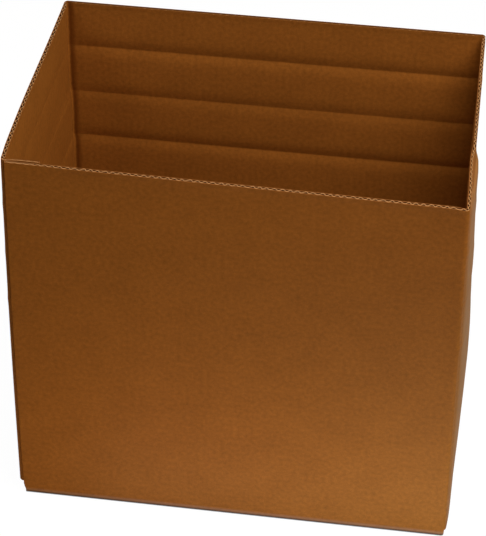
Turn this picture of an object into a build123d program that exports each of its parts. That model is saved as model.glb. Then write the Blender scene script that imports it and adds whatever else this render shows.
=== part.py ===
# Open corrugated carton: one blank, folded round four walls, glued to itself at the
# front left corner and closed at the bottom by four glued flaps. The top has no flaps.
# Front faces -Y, the origin is at the middle of the base, sizes are in millimetres.
from build123d import *
from math import atan2, degrees
import os

os.makedirs("parts", exist_ok=True)

# Carton, outside
width = 470.0
depth = 326.0
height = 440.0

# Single-wall board: two liners with a fluted medium between them
board = 4.1
liner = 0.45
medium = 0.5
flute_pitch = 7.6
flute_crest = 0.9
flute_end_depth = 40.0

# Upright folds and bottom folds
fold_outside = 5.0
fold_inside = 1.0
base_fold = 3.6

# Score lines pressed into the inside of the walls
first_score = 54.5
score_step = 60.0
score_count = 3
score_width = 3.2
score_depth = 0.9

# Glue joint at the front left corner
tab_reach = 33.0
tab_board = 2.4
panel_short = 3.5
glue_line = 0.35
glue_line_depth = 2.5

# Bottom: slots between the flaps, and the seam where the outer flaps meet
slot = 4.5
slot_tip = 2.6
slot_rise = 9.5
joint_slot_rise = 14.0
flap_clearance = 1.5
seam = 1.6

# Faces of the walls, worked out from the sizes above
side = width / 2
front = -depth / 2
inside_side = side - board
inside_front = front + board
inside_width = width - 2 * board
inside_depth = depth - 2 * board
flap_reach = (depth - seam) / 2
score_heights = [height - first_score - n * score_step for n in range(score_count)]

# Each wall's inner face: where it starts, which way is outwards, how far it runs
back_wall = (Vector(-inside_side, -inside_front), Vector(0, 1), inside_width)
right_wall = (Vector(inside_side, -inside_front), Vector(1, 0), inside_depth)
front_wall = (Vector(inside_side, inside_front), Vector(0, -1), inside_width - tab_reach)
left_wall = (Vector(-inside_side, inside_front + tab_board), Vector(-1, 0), inside_depth - tab_board)
tab_face = (Vector(tab_reach - inside_side, inside_front + tab_board), Vector(0, -1), tab_reach)
walls = [back_wall, right_wall, front_wall, left_wall]

# One flute: a hollow against each liner, with the medium between them
hollow_base = flute_pitch - flute_crest - 2 * medium
hollow_top = board / 2 - liner
hollow_foot = medium - hollow_top
with BuildSketch() as flute:
    for turn in (0, 180):
        with Locations(Rotation(0, 0, turn) * Location((flute_pitch / 4, 0))):
            Polygon(
                (-hollow_base / 2, hollow_top),
                (-flute_crest / 2, hollow_foot),
                (flute_crest / 2, hollow_foot),
                (hollow_base / 2, hollow_top),
                align=None,
            )

with BuildPart() as carton:
    # Walls in plan: rounded folds at three corners, and the glue joint at the fourth
    with BuildSketch():
        Rectangle(width, depth)
        corners = vertices().sort_by_distance((-width, -depth))
        fillet(corners[1:], radius=fold_outside)
        RectangleRounded(inside_width, inside_depth, fold_inside, mode=Mode.SUBTRACT)
        # The front panel's free edge stops short of the corner
        with Locations((-side, front)):
            Rectangle(panel_short, board, align=(Align.MIN, Align.MIN), mode=Mode.SUBTRACT)
        # Behind it the left wall rounds away into the tab
        with BuildLine():
            corner = (-side, inside_front)
            down = Line((-side, inside_front + fold_outside), corner)
            along = Line(corner, (fold_outside - side, inside_front))
            RadiusArc(along @ 1, down @ 0, fold_outside)
        make_face(mode=Mode.SUBTRACT)
    extrude(amount=height)

    # Glue tab, crushed thinner than the board
    with BuildSketch(Plane.XY.offset(joint_slot_rise)):
        with Locations((-inside_side, inside_front)):
            Rectangle(tab_reach, tab_board, align=(Align.MIN, Align.MIN))
    extrude(amount=height - joint_slot_rise)

    # Score lines across the inner faces, running on round the folds
    for start, outward, run in walls + [tab_face]:
        forward = outward.cross(Vector(0, 0, 1))
        with BuildSketch(Plane(start - forward * score_depth, x_dir=outward, z_dir=forward)):
            with Locations(*[(0, z) for z in score_heights]):
                Polygon(
                    (-fold_inside, -score_width / 2),
                    (0, -score_width / 2),
                    (score_depth, 0),
                    (0, score_width / 2),
                    (-fold_inside, score_width / 2),
                    align=None,
                )
        extrude(amount=run + 2 * score_depth, mode=Mode.SUBTRACT)

    # A fine line along the rim where the tab meets the front panel
    with BuildSketch(Plane.XY.offset(height)):
        with Locations((fold_outside - side, inside_front)):
            joint_run = tab_reach + board - fold_outside
            Rectangle(joint_run, glue_line, align=(Align.MIN, Align.CENTER))
    extrude(amount=-glue_line_depth, mode=Mode.SUBTRACT)

    # The side walls end one board up, where their flaps turn in over the outer pair
    for end in (-1, 1):
        with Locations((end * side, 0, 0)):
            Box(2 * slot, depth, 2 * board, mode=Mode.SUBTRACT)

    # Outer flaps from the front and back meet at the seam, inner ones from the sides lie on them
    for end in (-1, 1):
        with Locations((0, end * (depth - flap_reach) / 2, board / 2)):
            Box(width - 2 * slot, flap_reach, board)
        with Locations((end * (width - flap_reach) / 2, 0, board + board / 2)):
            Box(flap_reach, inside_depth - 2 * flap_clearance, board)

    # Bottom folds are rounded outside
    low = carton.edges().group_by(Axis.Z)[0].filter_by(Axis.X).sort_by(Axis.Y)
    fillet([low[0], low[-1]], radius=base_fold)
    sides = carton.edges().filter_by(Axis.Y).group_by(Axis.X)
    fillet([sides[0].sort_by(Axis.Z)[0], sides[-1].sort_by(Axis.Z)[0]], radius=base_fold)

    # Slots between the flaps narrow upwards into the corner folds
    taper = degrees(atan2(slot - slot_tip, slot_rise))
    with BuildSketch():
        with GridLocations(width, depth, 2, 2):
            Rectangle(2 * slot, 2 * slot)
    extrude(amount=slot_rise, taper=taper, mode=Mode.SUBTRACT)
    joint_taper = degrees(atan2(slot - slot_tip, joint_slot_rise))
    with BuildSketch():
        with Locations((-side, front)):
            Rectangle(2 * slot, 2 * slot)
    extrude(amount=joint_slot_rise, taper=joint_taper, mode=Mode.SUBTRACT)

    # Flute ends open on the inner flaps, which stop short of each other
    for end in (-1, 1):
        tip = Vector(end * (side - flap_reach), 0, board + board / 2)
        with BuildSketch(Plane(tip, x_dir=(0, 1, 0), z_dir=(-end, 0, 0))):
            with GridLocations(flute_pitch, flute_pitch, int(inside_depth // flute_pitch) - 1, 1):
                add(flute.sketch)
        extrude(amount=-flute_end_depth, clean=False, mode=Mode.SUBTRACT)

    # Flute ends open along the cut rims
    with BuildSketch(Plane.XY.offset(height)):
        for start, outward, run in walls:
            forward = outward.cross(Vector(0, 0, 1))
            middle = start + outward * (board / 2) + forward * (run / 2)
            with Locations(Location(middle, (0, 0, Vector(0, 1).get_signed_angle(outward)))):
                with GridLocations(flute_pitch, flute_pitch, int(run // flute_pitch), 1):
                    add(flute.sketch)
    extrude(amount=-flute_end_depth, clean=False, mode=Mode.SUBTRACT)

carton.part.label = "carton"
export_step(carton.part, "parts/carton.step")
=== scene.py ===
from math import cos, exp, pi, radians, sin

import bmesh
import bpy
from mathutils import Matrix, Vector


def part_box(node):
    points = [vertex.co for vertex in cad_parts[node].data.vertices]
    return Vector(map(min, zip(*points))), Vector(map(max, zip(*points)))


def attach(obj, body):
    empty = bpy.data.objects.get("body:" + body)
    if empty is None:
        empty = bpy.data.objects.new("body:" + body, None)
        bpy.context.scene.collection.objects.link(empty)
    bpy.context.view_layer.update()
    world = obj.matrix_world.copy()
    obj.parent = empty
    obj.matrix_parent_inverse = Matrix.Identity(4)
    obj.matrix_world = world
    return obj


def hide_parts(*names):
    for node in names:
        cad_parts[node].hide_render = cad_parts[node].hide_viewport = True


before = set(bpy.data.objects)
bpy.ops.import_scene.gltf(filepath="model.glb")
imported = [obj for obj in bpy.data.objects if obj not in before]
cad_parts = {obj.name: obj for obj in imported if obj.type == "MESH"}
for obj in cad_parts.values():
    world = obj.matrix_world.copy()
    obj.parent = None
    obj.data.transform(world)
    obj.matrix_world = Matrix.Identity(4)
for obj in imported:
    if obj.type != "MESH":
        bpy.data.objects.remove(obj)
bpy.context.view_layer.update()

# The board: one die-cut blank of single-wall kraft, folded round four upright corners, glued
# to itself by a tab inside the front left corner, and closed below by four glued flaps. The
# carton has stood open, so its walls lean and bow a little.

low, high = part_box("carton")
width = high.x - low.x
depth = high.y - low.y
height = high.z - low.z
side = width / 2
front = -depth / 2

# Thickness of the board and its liners, and the hollow between the liners at a cut edge
board = 0.0041
liner = 0.00045
rim_hollow = 0.0055
front_hollow = 0.0022
hollow_end = 0.0006

# How far the knife has turned the two liners at the rim: the outer one inwards, and the inner
# one outwards. The right wall's rim is pinched more along part of its run (share of the run,
# by how much), and over the glue tab the front's liners are turned as the right wall's are.
rim_turn = {"tab": (0.0002, 0.0002), "left": (0.0003, -0.0005), "back": (0.0007, -0.0004),
            "right": (0.0003, 0.0003), "front": (-0.0005, 0.0)}
turn_depth = 0.007
right_pinch = [(0.0, 0.0), (0.45, 0.0), (0.60, 0.0004),
               (0.76, 0.0004), (0.92, 0.0), (1.0, 0.0)]
no_pinch = [(0.0, 0.0), (1.0, 0.0)]
front_turn_end = 0.05

# Folds: the upright ones, where the board is crushed by a share of its thickness, and the
# bottom ones, which are squarer than an arc
fold_outside = 0.005
fold_length = fold_outside * pi / 2
fold_steps = 8
fold_crush = {"back left fold": 0.65, "back right fold": 0.35, "front right fold": 0.15}
crush_reach = 0.0125
base_fold = 0.0046
base_square = 0.45
base_steps = 8

# Glue joint: a crushed tab behind the front panel, which stops short of the corner
tab_reach = 0.0365
tab_board = 0.0024
panel_short = 0.0062
tab_gap = 0.0017
joint_rise = 0.013
joint_cut = 0.0008
joint_slant = 0.0018
pressed_past = 0.006
pressed_run = tab_reach - panel_short + pressed_past

# Bottom flaps, of which the side walls' pair lies on the other two, and the slots cut between
# them up into the folds. On the front the slot starts narrow and opens along the bottom fold.
side_walls = ("left", "right")
seam = 0.0016
flap_reach = (depth - seam) / 2
slot_rise = 0.0095
slot_half = 0.0045
front_slot_half = 0.0024
slot_start_share = 0.1
joint_slot_half = 0.0080
slot_ease = 0.012

# Score lines across the inside, each at the bottom of a shallow valley in the wall, which is
# weaker beside the back left fold
score_drops = (0.0560, 0.1166, 0.1766)
score_heights = [height - drop for drop in score_drops]
score_half = 0.0016
score_depth = 0.0001
valley_depth = {"left": 0.0004, "back": 0.0024, "right": 0.0008, "front": 0.0001}
valley_share = [1.0, 0.8, 1.1]
valley_reach = 0.016
valley_start = 0.25
valley_from = 0.004
valley_run = 0.020
valley_round = 0.0016
side_wall_shares = (0.95, 0.985)
end_wall_shares = (0.94, 0.98)

# How far each corner has moved from square, at the rim and at the base (x, y)
rim_lean = {"front left": (-0.0011, 0.0047), "front right": (-0.0003, -0.0045),
            "back left": (0.0010, -0.0014), "back right": (-0.0032, -0.0002)}
base_lean = {"front left": (0.0, -0.0013), "front right": (0.0040, -0.0013),
             "back left": (0.0, 0.0), "back right": (-0.0038, 0.0)}

# Bow of the right wall at each height, in its front half and towards its back, with a bulge
# that ends short below the rim, and the bow of the rim itself from front to back
bow_heights = [0.000, 0.050, 0.100, 0.150, 0.200, 0.265, 0.325, 0.385, 0.415, 0.440]
bow_front = [0.0040, 0.0049, 0.0068, 0.0081, 0.0092, 0.0072, 0.0073, 0.0045, 0.0043, 0.0043]
bow_back = [-0.001, -0.0004, 0.0002, 0.0005, 0.0004, -0.0017, -0.0022, -0.0005, 0.0, 0.0]
front_skew = 0.6
back_skew = 1.5
bulge_top = (0.28, 0.34)
bulge_end = (0.285, 0.35)
rim_places = [0.0, 0.10, 0.17, 0.27, 0.335, 0.50, 0.65, 0.80, 0.90, 1.0]
rim_bow = [0.0, 0.0, -0.0007, -0.0014, 0.0004, 0.0005, 0.0005, 0.0003, 0.0001, 0.0]
rim_depth = 0.009
rim_edge = 0.001

# Smaller bows: the left wall and its fold, the back left fold where it buckled at the scores,
# the right wall's crease, the strip of the back wall beside the left fold, the dip at the
# front right corner, the turn of the left wall towards the joint, and the tab's gap at the rim
left_rim_bow = 0.0008
left_rim_skew = 0.0005
left_fold_bow = 0.0013
buckle_start = 0.10
buckle_step = 0.004
buckle_heights = [0.0, buckle_start, score_heights[2] - buckle_step, score_heights[2] + buckle_step,
                  score_heights[1] - buckle_step, score_heights[1] + 2 * buckle_step, height]
buckle = [0.0, 0.0034, 0.0044, 0.0032, 0.0030, 0.0012, 0.0]
crease = 0.0008
crease_half = 0.004
crease_shares = (0.45, 0.75)
back_strip = 0.0012
strip_width = 0.011
strip_drops = (0.15, 0.07)
corner_dip = 0.0012
dip_inset = 0.004
dip_reach = 0.008
dip_depth = 0.03
joint_turn = 0.0007
turn_reach = 0.026
tab_gap_depth = 0.06
tab_closed_shares = (0.7, 1.0)


def smooth(x, start, end):
    """A soft step from 0 at the start to 1 at the end."""
    t = min(1.0, max(0.0, (x - start) / (end - start)))
    return t * t * (3 - 2 * t)


def between(x, places, values):
    """The value at x on straight lines from place to place."""
    n = 0
    while n < len(places) - 2 and x > places[n + 1]:
        n += 1
    t = (x - places[n]) / (places[n + 1] - places[n])
    return values[n] + (values[n + 1] - values[n]) * min(1.0, max(0.0, t))


# The blank in plan, walked from the tab's free end round to the front panel's free edge.
# Each run has a length, whether it is a fold, and its thickness at either end.
blank = [
    ("tab", tab_reach + board - fold_outside, False, tab_board, tab_board),
    ("joint fold", fold_length, True, tab_board, board),
    ("left", depth - board - 2 * fold_outside, False, board, board),
    ("back left fold", fold_length, True, board, board),
    ("back", width - 2 * fold_outside, False, board, board),
    ("back right fold", fold_length, True, board, board),
    ("right", depth - 2 * fold_outside, False, board, board),
    ("front right fold", fold_length, True, board, board),
    ("front", width - fold_outside - panel_short, False, board, board),
]
runs = {}
corner = Vector((tab_reach + board - side, front + board))
heading = pi
walked = 0.0
for name, length, fold, thick_start, thick_end in blank:
    runs[name] = (walked, length, fold, corner.copy(), heading, thick_start, thick_end)
    corner += Vector((cos(heading), sin(heading))) * (fold_outside if fold else length)
    if fold:
        corner += Vector((sin(heading), -cos(heading))) * fold_outside
        heading -= pi / 2
    walked += length
blank_length = walked

# Where along the blank each turn of the rim's liners holds
turn_spots = []
turn_outer = []
turn_inner = []
for name, (outer_in, inner_out) in rim_turn.items():
    start, length = runs[name][:2]
    if name == "front":
        length -= front_turn_end
    for place, pinch in right_pinch if name == "right" else no_pinch:
        turn_spots.append(start + length * place)
        turn_outer.append(outer_in)
        turn_inner.append(inner_out + pinch)
turn_spots.append(blank_length - tab_reach)
turn_outer.append(rim_turn["right"][0])
turn_inner.append(rim_turn["right"][1])


def in_plan(distance):
    """Outer point, outward direction and thickness at a distance along the blank."""
    for start, length, fold, point, facing, thick_start, thick_end in runs.values():
        if distance <= start + length:
            break
    reach = distance - start
    thickness = thick_start + (thick_end - thick_start) * reach / length
    angle = facing - reach / fold_outside if fold else facing
    outward = Vector((-sin(angle), cos(angle)))
    if fold:
        centre = point + Vector((sin(facing), -cos(facing))) * fold_outside
        return centre + outward * fold_outside, outward, thickness
    return point + Vector((cos(facing), sin(facing))) * reach, outward, thickness


def settled(point, wall, share, fade):
    """Moves a point of the square carton to where the real one stands."""
    x, y, z = point
    right_share = (x + side) / width
    left_share = 1 - right_share
    back_share = (y - front) / depth
    front_share = 1 - back_share
    up_share = min(1.0, max(0.0, z / height))
    shares = {"front left": left_share * front_share, "front right": right_share * front_share,
              "back left": left_share * back_share, "back right": right_share * back_share}
    move_x = -left_fold_bow * sin(pi * up_share) * left_share
    move_x += between(z, buckle_heights, buckle) * left_share * max(0.0, back_share) ** 3
    move_y = 0.0
    for name, part in shares.items():
        move_x += part * (rim_lean[name][0] * up_share + base_lean[name][0] * (1 - up_share))
        move_y += part * (rim_lean[name][1] * up_share + base_lean[name][1] * (1 - up_share))
    valley = 0.0
    for level, part in zip(score_heights, valley_share):
        gap = ((z - level) ** 2 + valley_round ** 2) ** 0.5
        valley += part * max(0.0, 1 - gap / valley_reach) ** 2
    move_x += valley * valley_depth["right"] * smooth(right_share, *side_wall_shares)
    move_x -= valley * valley_depth["left"] * smooth(left_share, *side_wall_shares)
    scored = valley_start + (1 - valley_start) * smooth(x + side, valley_from, valley_run)
    move_y += valley * valley_depth["back"] * scored * smooth(back_share, *end_wall_shares)
    move_y -= valley * valley_depth["front"] * smooth(front_share, *end_wall_shares)
    if wall == "tab":
        opened = 1 - smooth(share, *tab_closed_shares)
        move_y += tab_gap * opened * smooth(z, height - tab_gap_depth, height)
        move_x += joint_turn * up_share ** 0.5
    elif wall == "left":
        rim_out = left_rim_bow * sin(pi * share) + left_rim_skew * sin(2 * pi * share)
        beside_joint = 1 - smooth(share * runs["left"][1], 0, turn_reach)
        move_x -= rim_out * up_share
        move_x += joint_turn * beside_joint * up_share ** 0.5
    elif wall == "back":
        low_down = 1 - smooth(z, *[height - drop for drop in strip_drops])
        strip = smooth(share * runs["back"][1], 0, strip_width) * (1 - share)
        move_y += fade * back_strip * strip * low_down
    elif wall == "right":
        back_off = 1 - share
        bow = between(z, bow_heights, bow_front) * sin(pi * back_off ** front_skew)
        bow *= 1 - smooth(z, *bulge_top) * smooth(back_off, *bulge_end)
        bow += between(z, bow_heights, bow_back) * sin(pi * back_off ** back_skew)
        at_rim = smooth(z, height - rim_depth, height - rim_edge)
        bow += (between(back_off, rim_places, rim_bow) - bow) * at_rim
        move_x += fade * bow
    near = exp(-((x - side + dip_inset) / dip_reach) ** 2 - ((y - front) / dip_reach) ** 2)
    dip = corner_dip * near * smooth(z, height - dip_depth, height)
    return Vector((x + move_x, y + move_y, z - dip))


# Columns of the sheet: the wall that each belongs to, and its distance along the blank.
# The middle of a fold has two, one for each wall, which part where a slot is cut.
column_step = 0.0075
fold_gaps = (0.0012, 0.0026, 0.0046)
names = list(runs)
columns = []
for n, (name, length, fold, _, _) in enumerate(blank):
    start = runs[name][0]
    if fold:
        for step in range(1, fold_steps):
            spot = start + length * step / fold_steps
            if 2 * step <= fold_steps:
                columns.append((names[n - 1], spot))
            if 2 * step >= fold_steps:
                columns.append((names[n + 1], spot))
    else:
        count = max(3, round(length / column_step))
        spots = [length * step / count for step in range(count + 1)]
        spots += list(fold_gaps) + [length - gap for gap in fold_gaps]
        columns += [(name, start + spot) for spot in sorted(spots)]
last_column = len(columns) - 1
twins = [n for n in range(1, last_column + 1) if columns[n][1] == columns[n - 1][1]]
joint_twin = twins[0]

# Rows of the sheet: down the wall, closer at the rim and at each score, round the bottom fold,
# and along the flap
rim_drops = (0, 0.0012, 0.004, turn_depth, rim_hollow, 0.020, 0.027)
score_steps = (0.0008, 0.0016, 0.003, 0.005, 0.008, 0.013, 0.020)
plain_levels = [0.228, 0.208, 0.188, 0.168, 0.148, 0.128, 0.108, 0.088, 0.068, 0.050, 0.034, 0.022]
wall_levels = [height - drop for drop in rim_drops]
for level in score_heights:
    wall_levels.append(level)
    for step in score_steps:
        wall_levels += [level + step, level - step]
wall_levels += plain_levels + [joint_rise, joint_rise - joint_cut, slot_rise]
rows = [("wall", level) for level in sorted(wall_levels, reverse=True)]
flap_run = flap_reach - base_fold
flap_steps = (0.004, 0.012, 0.03, 0.055, 0.085, 0.115, flap_run - rim_hollow, flap_run)
rows += [("fold", step / base_steps) for step in range(base_steps + 1)]
rows += [("flap", step) for step in flap_steps]
last_row = len(rows) - 1
rim_floor = rows.index(("wall", height - rim_hollow))


def clear_of_slots(wall, spot, kind, value):
    """Where a column runs once the slots have been cut, along the blank."""
    level = value if kind == "wall" else 0.0
    from_edge = blank_length - spot
    if wall == "front" and from_edge < slot_ease:
        return spot - joint_slant * max(0.0, 1 - level / joint_rise) * (1 - from_edge / slot_ease)
    for n in twins:
        gap = abs(spot - columns[n][1])
        slotted = kind != "wall" or (n == joint_twin and wall == "left" and level < joint_rise)
        if slotted and gap < slot_ease:
            ahead = wall == columns[n][0]
            half = joint_slot_half if n == joint_twin else slot_half
            if wall == "front":
                opening = value if kind == "fold" else 1.0
                half = front_slot_half * (slot_start_share + opening)
            return spot + (half if ahead else -half) * (1 - gap / slot_ease)
    return spot


def sheet_point(column, row, inset):
    """A point of the settled sheet: inset 0 is the outer face and 1 the inner face."""
    wall, spot = column
    kind, value = row
    spot = clear_of_slots(wall, spot, kind, value)
    outer, outward, thickness = in_plan(spot)
    for name, share in fold_crush.items():
        gap = abs(spot - runs[name][0] - fold_length / 2)
        thickness *= 1 - share * (1 - smooth(gap, 0.0, crush_reach))
    start, length, _, _, facing = runs[wall][:5]
    share = min(1.0, max(0.0, (spot - start) / length))
    if kind == "wall":
        at_rim = smooth(value, height - turn_depth, height)
        inwards = between(spot, turn_spots, turn_outer) * at_rim * (1 - inset)
        inwards += (thickness - between(spot, turn_spots, turn_inner) * at_rim) * inset
        for level in score_heights:
            inwards -= score_depth * inset * max(0.0, 1 - abs(value - level) / score_half)
        if wall == "right":
            line = max(0.0, 1 - abs(value - score_heights[1]) / crease_half)
            inwards += crease * line * (1 - inset) * smooth(share, *crease_shares)
        flat = outer - outward * inwards
        return settled((flat.x, flat.y, value), wall, share, 1.0)
    outward = Vector((-sin(facing), cos(facing)))
    rest = board if wall in side_walls else 0.0
    radius = base_fold - board * inset
    centre = outer - outward * base_fold
    if kind == "fold":
        angle = value * pi / 2
        square = base_square + (1 - base_square) * inset
        flat = centre + outward * (radius * abs(cos(angle)) ** square)
        level = rest + base_fold - radius * sin(angle) ** square
        return settled((flat.x, flat.y, level), wall, share, 1 - value)
    flat = centre - outward * value
    return settled((flat.x, flat.y, rest + board * inset), wall, share, 0.0)


# Outer and inner faces of the sheet. A twin shares its neighbour's vertices above the slot.
points = []
outer_ids = []
inner_ids = []
for n, column in enumerate(columns):
    outer_ids.append([])
    inner_ids.append([])
    for r, row in enumerate(rows):
        if n in twins and row[0] == "wall" and (n != joint_twin or row[1] >= joint_rise):
            outer_ids[n].append(outer_ids[n - 1][r])
            inner_ids[n].append(inner_ids[n - 1][r])
        else:
            outer_ids[n].append(len(points))
            inner_ids[n].append(len(points) + 1)
            points += [sheet_point(column, row, 0.0), sheet_point(column, row, 1.0)]
reach_down = {"wall": lambda value: height - value,
              "fold": lambda value: height - base_fold + value * base_fold * pi / 2,
              "flap": lambda value: height + value}
row_marks = [-reach_down[kind](value) for kind, value in rows]
faces = []
face_papers = []
face_marks = []
edge_uses = {}


def add_face(ids, paper_name, marks):
    faces.append(ids)
    face_papers.append(paper_name)
    face_marks.append(marks)


for a in range(last_column):
    b = a + 1
    for r in range(last_row):
        on_tab = b < joint_twin and (rows[r][0] != "wall" or rows[r][1] <= joint_rise)
        if b in twins or on_tab:
            continue
        corners = [(a, r), (b, r), (b, r + 1), (a, r + 1)]
        marks = [(columns[c][1], row_marks[k]) for c, k in corners]
        add_face([outer_ids[c][k] for c, k in corners], "outer", marks)
        add_face([inner_ids[c][k] for c, k in corners[::-1]], "inner", marks[::-1])
        for n in range(4):
            ends = (corners[n], corners[(n + 1) % 4])
            key = frozenset(outer_ids[c][k] for c, k in ends)
            edge_uses.setdefault(key, []).append(ends)

# Cut edges: plain where the knife ran along the flutes, hollow where it crossed them
lips = {}
lip_uses = {}


def lip(c, r):
    """The hollow between the liners at a cut end: a lip and a deep corner at each liner."""
    key = outer_ids[c][r]
    lip_uses[key] = lip_uses.get(key, 0) + 1
    if key not in lips:
        wall, spot = columns[c]
        if c == 0 or (r and spot == runs[wall][0]):
            spot += hollow_end
        elif c == last_column or (r and spot == runs[wall][0] + runs[wall][1]):
            spot -= hollow_end
        near = liner / in_plan(spot)[2]
        deep = rows[rim_floor if r == 0 else last_row - 1]
        if r == 0 and wall == "front":
            deep = ("wall", height - front_hollow)
        lips[key] = []
        for row, inset in ((rows[r], near), (deep, near), (deep, 1 - near), (rows[r], 1 - near)):
            lips[key].append(len(points))
            points.append(sheet_point((wall, spot), row, inset))
    return lips[key]


open_ends = {}
for homes in edge_uses.values():
    if len(homes) > 1:
        continue
    (a, r), (b, k) = homes[0]
    marks = [(columns[a][1], row_marks[r]), (columns[b][1], row_marks[k])]
    marks += marks[::-1]
    wall = columns[a][0]
    spots = [columns[c][1] - runs[columns[c][0]][0] for c in (a, b)]
    on_flap = wall in side_walls and all(0 <= spot <= runs[wall][1] for spot in spots)
    if r == k == 0 or (r == k == last_row and on_flap):
        chains = []
        for c in (a, b):
            chains.append([outer_ids[c][r]] + lip(c, r) + [inner_ids[c][r]])
            open_ends[outer_ids[c][r]] = (c, r)
        for n in range(5):
            ring = [chains[0][n], chains[1][n], chains[1][n + 1], chains[0][n + 1]]
            inside = "pressed" if blank_length - columns[a][1] < pressed_run else "hollow"
            add_face(ring, "cut" if n in (0, 4) else inside, marks)
    else:
        ring = [outer_ids[a][r], outer_ids[b][k], inner_ids[b][k], inner_ids[a][r]]
        add_face(ring, "cut", marks)
for key, (c, r) in open_ends.items():
    if lip_uses[key] == 1:
        marks = [(columns[c][1], row_marks[r])] * 4
        add_face([key, lips[key][0], lips[key][3], inner_ids[c][r]], "cut", marks)
        add_face(lips[key], "hollow", marks)

# Kraft liner: brown paper with cloudy patches and fine fibre, and the faint washboard of
# the flutes beneath it, which shows more on the inside. Cut edges are paler and rougher.
flute_pitch = 0.0077
liner_roughness = 0.66
cut_roughness = 0.9
paper_specular = 0.05
outer_dark = (0.140, 0.0400, 0.0038, 1)
outer_light = (0.418, 0.133, 0.0152, 1)
inner_dark = (0.140, 0.0425, 0.0058, 1)
inner_light = (0.418, 0.142, 0.0215, 1)
cut_dark = (0.28, 0.100, 0.024, 1)
cut_light = (0.40, 0.165, 0.050, 1)
# The backs of the liners in the cut edges' hollows are darkened as painted shade for the hollows.
hollow_shade_dark = (0.17, 0.060, 0.014, 1)
hollow_shade_light = (0.25, 0.088, 0.020, 1)
pressed_dark = (0.41, 0.185, 0.066, 1)
pressed_light = (0.53, 0.270, 0.108, 1)

# Grain of the paper, as scale and detail, and how much each grain tints and lifts it. The
# washboard's two are for the tint and the relief.
cloud_grain = (25.0, 3.0)
patch_grain = (220.0, 3.0)
fibre_grain = (800.0, 4.0)
edge_grain = (900.0, 3.0)
back_grain = (700.0, 3.0)
first_tint = -0.165
cloud_tint = 0.26
patch_tint = 0.62
fibre_tint = 0.45
fibre_relief = 0.55
outer_washboard = (0.004, 0.06)
inner_washboard = (0.016, 0.25)
bump_depth = 0.00016
bump_strength = 0.6

# Painted light and shade along the bottom folds: a pale band for the light that the floor
# throws up on them, and a dark line for the shade on the fold's underside. For each, how far
# past the fold's middle it lies, half its width, and its strength in the middle
bottom_fold = height - base_fold + base_fold * pi / 4
# Painted light: the pale band that the floor throws up on the bottom folds.
floor_bounce_paint = (0.30, 0.155, 0.075, 1)
floor_bounce_band = (-0.0032, 0.0034, 0.5)
# Painted shadow: the dark line on the underside of the bottom folds.
fold_underside_shade = (0.062, 0.031, 0.0125, 1)
underside_shade_band = (0.0008, 0.0044, 2.8)

# Painted light and shade that run up a wall: its place along the blank, half its width, its
# strength in the middle, the most it may reach, and its colour. Painted shade darkens the inside
# along the back left fold's crease, and a painted sheen makes the outside of the right wall paler.
crease_shade = (0.10, 0.020, 0.0010, 1)
shade_inset = 0.0014
shade_half = 0.0046
shade_strength = 0.52
painted_fold_shade = [(runs["back"][0] + shade_inset, shade_half, shade_strength, 1.0, crease_shade)]
# Painted sheen: the outside of the right wall is made paler and greyer.
painted_sheen_colour = (0.27, 0.150, 0.062, 1)
sheen_past = 0.004
sheen_strength = 4.0
sheen_most = 0.42
right_start, right_length = runs["right"][:2]
right_middle = right_start + right_length / 2
sheen_half = right_length / 2 + sheen_past
painted_sheen = [(right_middle, sheen_half, sheen_strength, sheen_most, painted_sheen_colour)]


def link(tree, out_socket, in_socket):
    tree.links.new(out_socket, in_socket)


def maths(tree, operation, *values):
    node = tree.nodes.new("ShaderNodeMath")
    node.operation = operation
    for socket, value in zip(node.inputs, values):
        if hasattr(value, "is_output"):
            link(tree, value, socket)
        else:
            socket.default_value = value
    return node.outputs[0]


def noise(tree, vector, grain):
    node = tree.nodes.new("ShaderNodeTexNoise")
    node.inputs["Scale"].default_value, node.inputs["Detail"].default_value = grain
    link(tree, vector, node.inputs["Vector"])
    return node.outputs["Fac"]


def paper(name, dark, light, roughness):
    """A paper material: its tree, its shader, and the amount that runs from dark to light."""
    material = bpy.data.materials.new(name)
    material.use_nodes = True
    tree = material.node_tree
    shader = tree.nodes["Principled BSDF"]
    shader.inputs["Roughness"].default_value = roughness
    shader.inputs["Specular IOR Level"].default_value = paper_specular
    ramp = tree.nodes.new("ShaderNodeMix")
    ramp.data_type = "RGBA"
    ramp.inputs["A"].default_value = dark
    ramp.inputs["B"].default_value = light
    link(tree, ramp.outputs["Result"], shader.inputs["Base Color"])
    return material, tree, shader, ramp.inputs["Factor"]


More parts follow.
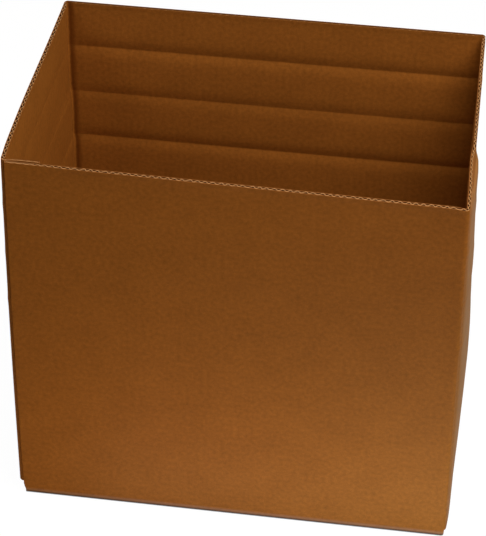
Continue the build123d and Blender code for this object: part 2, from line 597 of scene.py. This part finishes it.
def kraft_liner(name, dark, light, washboard_amounts, painted_wall_marks):
    """Kraft paper on the blank's own map, with painted light and shade along its folds and walls.
    """
    washboard_tint, washboard_relief = washboard_amounts
    material, tree, shader, amount = paper(name, dark, light, liner_roughness)
    sheet_map = tree.nodes.new("ShaderNodeUVMap")
    sheet_map.uv_map = "blank"
    on_sheet = sheet_map.outputs["UV"]
    clouds = noise(tree, on_sheet, cloud_grain)
    patches = noise(tree, on_sheet, patch_grain)
    fibre = noise(tree, on_sheet, fibre_grain)
    parted = tree.nodes.new("ShaderNodeSeparateXYZ")
    link(tree, on_sheet, parted.inputs[0])
    turns = maths(tree, "MULTIPLY", parted.outputs["X"], 2 * pi / flute_pitch)
    washboard = maths(tree, "SINE", turns)
    shade = maths(tree, "MULTIPLY_ADD", clouds, cloud_tint, first_tint)
    shade = maths(tree, "MULTIPLY_ADD", patches, patch_tint, shade)
    shade = maths(tree, "MULTIPLY_ADD", fibre, fibre_tint, shade)
    shade = maths(tree, "MULTIPLY_ADD", washboard, washboard_tint, shade)
    link(tree, shade, amount)
    bands = []
    # Bands of painted light and shade, along the bottom folds and up the walls
    for colour, (past, half, strength) in ((floor_bounce_paint, floor_bounce_band), (fold_underside_shade, underside_shade_band)):
        bands.append((parted.outputs["Y"], bottom_fold + past, half, strength, 1.0, colour))
    for spot, half, strength, most, colour in painted_wall_marks:
        bands.append((parted.outputs["X"], -spot, half, strength, most, colour))
    for along, past, half, strength, most, colour in bands:
        from_middle = maths(tree, "ABSOLUTE", maths(tree, "ADD", along, past))
        painted_mix = tree.nodes.new("ShaderNodeMix")
        painted_mix.data_type = "RGBA"
        painted_mix.inputs["B"].default_value = colour
        painted_amount = maths(tree, "MULTIPLY_ADD", from_middle, -strength / half, strength)
        link(tree, maths(tree, "MINIMUM", painted_amount, most), painted_mix.inputs["Factor"])
        link(tree, shader.inputs["Base Color"].links[0].from_socket, painted_mix.inputs["A"])
        link(tree, painted_mix.outputs["Result"], shader.inputs["Base Color"])
    relief = maths(tree, "MULTIPLY", fibre, fibre_relief)
    relief = maths(tree, "MULTIPLY_ADD", washboard, washboard_relief, relief)
    bump = tree.nodes.new("ShaderNodeBump")
    bump.inputs["Distance"].default_value = bump_depth
    bump.inputs["Strength"].default_value = bump_strength
    link(tree, relief, bump.inputs["Height"])
    link(tree, bump.outputs["Normal"], shader.inputs["Normal"])
    return material


def plain_paper(name, dark, light, grain):
    material, tree, _, amount = paper(name, dark, light, cut_roughness)
    where = tree.nodes.new("ShaderNodeTexCoord").outputs["Object"]
    link(tree, noise(tree, where, grain), amount)
    return material


papers = {
    "outer": kraft_liner("kraft_outer_liner", outer_dark, outer_light, outer_washboard, painted_sheen),
    "inner": kraft_liner("kraft_inner_liner", inner_dark, inner_light, inner_washboard, painted_fold_shade),
    "cut": plain_paper("cut_liner_edge", cut_dark, cut_light, edge_grain),
    "hollow": plain_paper("liner_back_painted_shade", hollow_shade_dark, hollow_shade_light, back_grain),
    "pressed": plain_paper("pressed_edge", pressed_dark, pressed_light, back_grain),
}

# The folded sheet, with its place on the flat blank as its map
sharp_board = radians(40)
sheet_mesh = bpy.data.meshes.new("folded_board")
sheet_mesh.from_pydata(points, [], faces)
flat_marks = [value for marks in face_marks for mark in marks for value in mark]
sheet_mesh.uv_layers.new(name="blank").data.foreach_set("uv", flat_marks)
for material in papers.values():
    sheet_mesh.materials.append(material)
order = list(papers)
sheet_mesh.polygons.foreach_set("material_index", [order.index(name) for name in face_papers])
shape = bmesh.new()
shape.from_mesh(sheet_mesh)
bmesh.ops.recalc_face_normals(shape, faces=shape.faces)
shape.to_mesh(sheet_mesh)
shape.free()
sheet_mesh.shade_smooth()
sheet_mesh.set_sharp_from_angle(angle=sharp_board)
folded_board = bpy.data.objects.new("folded_board", sheet_mesh)
bpy.context.scene.collection.objects.link(folded_board)
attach(folded_board, "root")
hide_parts("carton")

# The fluted medium: a sheet of thinner paper between the liners, pressed into flutes and glued
# to both. Its cut ends show along the rim, and on the two inner flaps where they stop short.
# Over the glue tab the press has flattened it.

medium = 0.0007
medium_clear = 0.0006
medium_sunk = {"tab": 0.0003, "left": 0.0008, "back": 0.0016, "right": 0.0003, "front": 0.0001}
# The flutes' sides carry painted shade for the hollows they stand in.
medium_shaded_side = (0.16, 0.056, 0.013, 1)
medium_cut = (0.50, 0.255, 0.105, 1)
flute_steps = 14
pressed_inset = 0.34
pressed_swing = 0.0004
weld_gap = 0.000002
sharp_flute = radians(50)

# Unevenness of the flutes: its grain, and how far it shifts a flute and lowers it
uneven_grain = (90.0, 1.0)
uneven_shift = 0.8
uneven_height = 1.2
least_height = 0.3

# Pale at the cut ends, which face up or down, and darker on the flutes' sides, partly their
# own darker paper and partly painted shade for the hollows they stand in
medium_paper, tree, _, cut_amount = paper("medium_paper", medium_shaded_side, medium_cut, cut_roughness)
facing = tree.nodes.new("ShaderNodeSeparateXYZ")
link(tree, tree.nodes.new("ShaderNodeNewGeometry").outputs["True Normal"], facing.inputs[0])
link(tree, maths(tree, "ABSOLUTE", facing.outputs["Z"]), cut_amount)

path_points = []
path_edges = []
path_swing = []
path_side = []
path_down = []


def add_path(path_columns, r, deep_row):
    """One line of flute ends, between the liners of a cut edge."""
    for n, column in enumerate(path_columns):
        over_tab = column[0] == "front" and blank_length - column[1] < pressed_run
        inset = pressed_inset if over_tab else 0.5
        top = sheet_point(column, rows[r], inset)
        deep = sheet_point(column, rows[deep_row], inset)
        across = sheet_point(column, rows[r], 0.0) - sheet_point(column, rows[r], 1.0)
        if n:
            path_edges.append((len(path_points) - 1, len(path_points)))
        sunk = medium_sunk[column[0]]
        path_points.append(top + (deep - top) * (sunk / rim_hollow))
        hollow = front_hollow if column[0] == "front" else rim_hollow
        path_down.append((deep - top) * ((hollow - medium_clear - sunk) / rim_hollow))
        path_swing.append(pressed_swing if over_tab else across.length / 2 - liner - medium / 2)
        path_side.append(across.normalized())


rim_columns = [column for n, column in enumerate(columns) if n not in twins]
rim_columns[0] = ("tab", 2 * hollow_end)
rim_columns[-1] = ("front", blank_length - 2 * hollow_end)
add_path(rim_columns, 0, rim_floor)
for wall in side_walls:
    start, length = runs[wall][:2]
    end = start + length
    flap_columns = [column for column in columns if column[0] == wall and start <= column[1] <= end]
    flap_columns[0] = (wall, start + 2 * hollow_end)
    flap_columns[-1] = (wall, end - 2 * hollow_end)
    add_path(flap_columns, last_row, last_row - 1)

# Each line is waved from side to side, drawn down into the board and given its thickness
flutes = bpy.data.node_groups.new("fluted_medium", "GeometryNodeTree")
flutes.interface.new_socket("Geometry", in_out="INPUT", socket_type="NodeSocketGeometry")
pitch_in = flutes.interface.new_socket("Flute pitch", in_out="INPUT", socket_type="NodeSocketFloat")
step_in = flutes.interface.new_socket("Step", in_out="INPUT", socket_type="NodeSocketFloat")
paper_in = flutes.interface.new_socket("Paper", in_out="INPUT", socket_type="NodeSocketFloat")
flutes.interface.new_socket("Geometry", in_out="OUTPUT", socket_type="NodeSocketGeometry")
inputs = flutes.nodes.new("NodeGroupInput")
output = flutes.nodes.new("NodeGroupOutput")


def stored(name, kind):
    node = flutes.nodes.new("GeometryNodeInputNamedAttribute")
    node.data_type = kind
    node.inputs["Name"].default_value = name
    return node.outputs["Attribute"]


def scaled(vector, amount):
    node = flutes.nodes.new("ShaderNodeVectorMath")
    node.operation = "SCALE"
    link(flutes, vector, node.inputs[0])
    link(flutes, amount, node.inputs["Scale"])
    return node.outputs[0]


def moved(geometry, offset):
    node = flutes.nodes.new("GeometryNodeSetPosition")
    link(flutes, geometry, node.inputs["Geometry"])
    link(flutes, offset, node.inputs["Offset"])
    return node.outputs["Geometry"]


line = flutes.nodes.new("GeometryNodeMeshToCurve")
link(flutes, inputs.outputs["Geometry"], line.inputs["Mesh"])
even = flutes.nodes.new("GeometryNodeResampleCurve")
even.mode = "LENGTH"
link(flutes, line.outputs["Curve"], even.inputs["Curve"])
link(flutes, inputs.outputs["Step"], even.inputs["Length"])
run_length = flutes.nodes.new("GeometryNodeSplineParameter").outputs["Length"]
place = flutes.nodes.new("GeometryNodeInputPosition").outputs["Position"]
unevenness = noise(flutes, place, uneven_grain)
waves = maths(flutes, "DIVIDE", run_length, inputs.outputs["Flute pitch"])
waves = maths(flutes, "MULTIPLY_ADD", unevenness, uneven_shift, waves)
wave = maths(flutes, "SINE", maths(flutes, "MULTIPLY", waves, 2 * pi))
height_share = maths(flutes, "MULTIPLY_ADD", unevenness, uneven_height, least_height)
wave = maths(flutes, "MULTIPLY", wave, maths(flutes, "MINIMUM", height_share, 1.0))
swing = maths(flutes, "MULTIPLY", wave, stored("swing", "FLOAT"))
waved = moved(even.outputs["Curve"], scaled(stored("side", "FLOAT_VECTOR"), swing))
edge_line = flutes.nodes.new("GeometryNodeCurveToMesh")
link(flutes, waved, edge_line.inputs["Curve"])
drop = flutes.nodes.new("GeometryNodeExtrudeMesh")
drop.mode = "EDGES"
link(flutes, edge_line.outputs["Mesh"], drop.inputs["Mesh"])
link(flutes, stored("down", "FLOAT_VECTOR"), drop.inputs["Offset"])
drop.inputs["Offset Scale"].default_value = 1.0
half_paper = maths(flutes, "MULTIPLY", inputs.outputs["Paper"], -0.5)
facing_out = flutes.nodes.new("GeometryNodeInputNormal").outputs["Normal"]
sheet = moved(drop.outputs["Mesh"], scaled(facing_out, half_paper))
thicken = flutes.nodes.new("GeometryNodeExtrudeMesh")
thicken.mode = "FACES"
thicken.inputs["Individual"].default_value = False
link(flutes, sheet, thicken.inputs["Mesh"])
link(flutes, inputs.outputs["Paper"], thicken.inputs["Offset Scale"])
turned = flutes.nodes.new("GeometryNodeFlipFaces")
link(flutes, sheet, turned.inputs["Mesh"])
together = flutes.nodes.new("GeometryNodeJoinGeometry")
link(flutes, thicken.outputs["Mesh"], together.inputs[0])
link(flutes, turned.outputs["Mesh"], together.inputs[0])
welded = flutes.nodes.new("GeometryNodeMergeByDistance")
welded.inputs["Distance"].default_value = weld_gap
link(flutes, together.outputs[0], welded.inputs["Geometry"])
whole = flutes.nodes.new("GeometryNodeRealizeInstances")
link(flutes, welded.outputs["Geometry"], whole.inputs["Geometry"])
finish = flutes.nodes.new("GeometryNodeSetMaterial")
finish.inputs["Material"].default_value = medium_paper
link(flutes, whole.outputs["Geometry"], finish.inputs["Geometry"])
link(flutes, finish.outputs["Geometry"], output.inputs["Geometry"])

path_mesh = bpy.data.meshes.new("flute_lines")
path_mesh.from_pydata(path_points, path_edges, [])
path_mesh.attributes.new("swing", "FLOAT", "POINT").data.foreach_set("value", path_swing)
for name, vectors in (("side", path_side), ("down", path_down)):
    flat_list = [value for vector in vectors for value in vector]
    path_mesh.attributes.new(name, "FLOAT_VECTOR", "POINT").data.foreach_set("vector", flat_list)
fluted_medium = bpy.data.objects.new("fluted_medium", path_mesh)
bpy.context.scene.collection.objects.link(fluted_medium)
modifier = fluted_medium.modifiers.new("flutes", "NODES")
modifier.node_group = flutes
modifier[pitch_in.identifier] = flute_pitch
modifier[step_in.identifier] = flute_pitch / flute_steps
modifier[paper_in.identifier] = medium
evaluated = fluted_medium.evaluated_get(bpy.context.evaluated_depsgraph_get())
medium_mesh = bpy.data.meshes.new_from_object(evaluated)
fluted_medium.modifiers.clear()
fluted_medium.data = medium_mesh
medium_mesh.shade_smooth()
medium_mesh.set_sharp_from_angle(angle=sharp_flute)
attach(fluted_medium, "root")

# The studio: a plain white floor and surround, a large soft lamp above on the right, weaker ones
# round the carton, and three low strips for the light that a floor throws up on the front.
# The camera stands in front, a little to the right, looking down.

# The floor is matt, and nearly all of what is seen of it is a plain white glow, with a painted
# contact shadow, a dark line where the carton touches it. Under the carton, from a little inside
# its edge, nothing glows.
floor_half = 3.0
floor_white = (0.85, 0.85, 0.85, 1)
glow_share = 0.94
glow_strength = 1.04
contact_shadow_reach = 0.0010
under_edge = 0.012
floor_mesh = bpy.data.meshes.new("floor")
square = ((-1, -1), (1, -1), (1, 1), (-1, 1))
floor_corners = [(x * floor_half, y * floor_half, 0) for x, y in square]
floor_mesh.from_pydata(floor_corners, [], [(0, 1, 2, 3)])
floor = bpy.data.objects.new("floor", floor_mesh)
bpy.context.scene.collection.objects.link(floor)


def seen_directly(tree):
    rays = tree.nodes.new("ShaderNodeLightPath").outputs
    seen = maths(tree, "MAXIMUM", rays["Is Camera Ray"], rays["Is Glossy Ray"])
    return maths(tree, "MAXIMUM", seen, rays["Is Transmission Ray"])


floor_paper = bpy.data.materials.new("white_floor")
floor_paper.use_nodes = True
tree = floor_paper.node_tree
tree.nodes.remove(tree.nodes["Principled BSDF"])
matt = tree.nodes.new("ShaderNodeBsdfDiffuse")
matt.inputs["Color"].default_value = floor_white
# Painted contact shadow: ambient occlusion darkens the glow close to the carton.
contact_shadow = tree.nodes.new("ShaderNodeAmbientOcclusion")
contact_shadow.inputs["Distance"].default_value = contact_shadow_reach
white = tree.nodes.new("ShaderNodeEmission")
link(tree, maths(tree, "MULTIPLY", contact_shadow.outputs["AO"], glow_strength), white.inputs["Strength"])
mixer = tree.nodes.new("ShaderNodeMixShader")
parted = tree.nodes.new("ShaderNodeSeparateXYZ")
link(tree, tree.nodes.new("ShaderNodeTexCoord").outputs["Object"], parted.inputs[0])
beyond = []
for axis, half in (("X", side), ("Y", -front)):
    off_middle = maths(tree, "ABSOLUTE", parted.outputs[axis])
    beyond.append(maths(tree, "GREATER_THAN", off_middle, half - under_edge))
glow = maths(tree, "MULTIPLY", maths(tree, "MAXIMUM", *beyond), glow_share)
link(tree, maths(tree, "MULTIPLY", seen_directly(tree), glow), mixer.inputs["Fac"])
link(tree, matt.outputs[0], mixer.inputs[1])
link(tree, white.outputs[0], mixer.inputs[2])
link(tree, mixer.outputs[0], tree.nodes["Material Output"].inputs["Surface"])
floor_mesh.materials.append(floor_paper)

# The surround is white where it is seen, and lights the carton only a little
surround_white = (1.0, 1.0, 1.0, 1)
surround_strength = 0.03
world = bpy.data.worlds.new("surround")
bpy.context.scene.world = world
world.use_nodes = True
tree = world.node_tree
surround = tree.nodes["Background"]
surround.inputs["Color"].default_value = surround_white
surround.inputs["Strength"].default_value = surround_strength
backdrop = tree.nodes.new("ShaderNodeBackground")
backdrop.inputs["Color"].default_value = surround_white
mixer = tree.nodes.new("ShaderNodeMixShader")
link(tree, seen_directly(tree), mixer.inputs["Fac"])
link(tree, surround.outputs[0], mixer.inputs[1])
link(tree, backdrop.outputs[0], mixer.inputs[2])
link(tree, mixer.outputs[0], tree.nodes["World Output"].inputs["Surface"])

# Each lamp: where it stands, what it faces, its two sizes, its power and its colour
lamps = {
    "key": ((0.45, -0.36, 1.40), (0.0, 0.0, 0.22), (0.90, 0.90), 17.4, (1.05, 1.0, 0.90)),
    "low strip": ((0.13, -0.36, 0.02), (0.10, front, 0.10), (0.70, 0.12),
                  0.78, (0.76, 0.63, 0.38)),
    "right strip": ((0.30, -0.36, 0.02), (0.25, front, 0.08), (0.40, 0.12),
                    0.50, (0.14, 0.57, 1.25)),
    "floor strip": ((0.15, -0.26, 0.012), (0.15, front, 0.04), (0.60, 0.02),
                    0.15, (0.22, 0.52, 1.75)),
    "right": ((1.0, -0.05, 0.35), (side, -0.05, 0.20), (0.5, 0.5), 1.2, (0.62, 1.0, 0.95)),
    "left fill": ((-0.70, -0.10, 1.10), (0.20, 0.10, 0.25), (0.3, 0.3), 1.7, (1.0, 1.0, 1.0)),
    "behind": ((-0.9, 1.6, 1.6), (0.0, 0.0, 0.22), (1.2, 1.2), 3.0, (1.0, 1.0, 1.0)),
}
for name, (spot, target, size, power, colour) in lamps.items():
    lamp = bpy.data.lights.new(name, "AREA")
    lamp.shape = "RECTANGLE"
    lamp.size, lamp.size_y = size
    lamp.energy = power
    lamp.color = colour
    holder = bpy.data.objects.new(name, lamp)
    holder.visible_camera = False
    bpy.context.scene.collection.objects.link(holder)
    aim = (Vector(target) - Vector(spot)).to_track_quat("-Z", "Y")
    holder.matrix_world = Matrix.Translation(spot) @ aim.to_matrix().to_4x4()

# The camera, from a fit to the carton's edges: the picture's width and the focal length in
# pixels, its turn, rise and roll, and its distance from the point that it aims at
picture_width = 486
focal_pixels = 2229.6
camera_turn = radians(7.496)
camera_rise = radians(37.323)
camera_roll = radians(0.873)
camera_distance = 2.4561
aim_point = Vector((-0.0092, 0.0, 0.2149))
camera = bpy.data.cameras.new("camera")
camera.sensor_fit = "HORIZONTAL"
camera.sensor_width = 36.0
camera.lens = focal_pixels / picture_width * camera.sensor_width
holder = bpy.data.objects.new("camera", camera)
bpy.context.scene.collection.objects.link(holder)
stand = Matrix.Rotation(camera_turn, 4, "Z") @ Matrix.Rotation(pi / 2 - camera_rise, 4, "X")
stand = stand @ Matrix.Rotation(camera_roll, 4, "Z") @ Matrix.Translation((0, 0, camera_distance))
holder.matrix_world = Matrix.Translation(aim_point) @ stand
bpy.context.scene.camera = holder
bpy.context.scene.view_settings.view_transform = "Standard"
